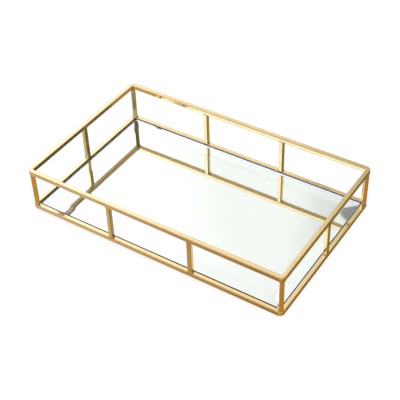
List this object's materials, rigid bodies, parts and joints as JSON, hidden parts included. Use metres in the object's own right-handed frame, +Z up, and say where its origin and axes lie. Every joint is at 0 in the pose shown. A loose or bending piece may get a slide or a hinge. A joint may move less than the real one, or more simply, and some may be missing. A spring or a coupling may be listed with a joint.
{
  "type": "dresser vanity tray",
  "caption": "Rectangular vanity tray: a bevelled mirror set in a low open gallery of polished gold square bar, with a top rim, a bottom rim and upright posts between them.",
  "frame": {"origin": "on the surface that the tray stands on, under the middle of the tray", "axes": "+X along the long sides, to the right as seen from the front; +Y towards the rear; +Z up"},
  "size_m": [0.3, 0.184, 0.0518],
  "materials": {
    "gold_bar": "polished",
    "gold_solder": "satin",
    "mirror_glass": "clear, bevelled",
    "silvering": "mirror",
    "edge_seal": "dark, matt",
    "foam_tape": "foam",
    "base_sheet": "gold lacquer",
    "felt": "felt"
  },
  "bodies": {
    "root": {"base_sheet": "base_sheet", "bottom_rail_front": "gold_bar", "bottom_rail_left": "gold_bar", "bottom_rail_rear": "gold_bar", "bottom_rail_right": "gold_bar", "corner_post_front_left": "gold_bar", "corner_post_front_right": "gold_bar", "corner_post_rear_left": "gold_bar", "corner_post_rear_right": "gold_bar", "edge_seal_front": "edge_seal", "edge_seal_left": "edge_seal", "edge_seal_rear": "edge_seal", "edge_seal_right": "edge_seal", "felt_underlay": "felt", "mid_post_front_left": "gold_bar", "mid_post_front_right": "gold_bar", "mid_post_left": "gold_bar", "mid_post_rear_left": "gold_bar", "mid_post_rear_right": "gold_bar", "mid_post_right": "gold_bar", "mirror_glass": "mirror_glass", "mirror_silvering": "silvering", "mounting_tape": "foam_tape", "solder_fillets_lower": "gold_solder", "solder_fillets_upper": "gold_solder", "top_rail_front": "gold_bar", "top_rail_left": "gold_bar", "top_rail_rear": "gold_bar", "top_rail_right": "gold_bar"}
  },
  "joints": []
}
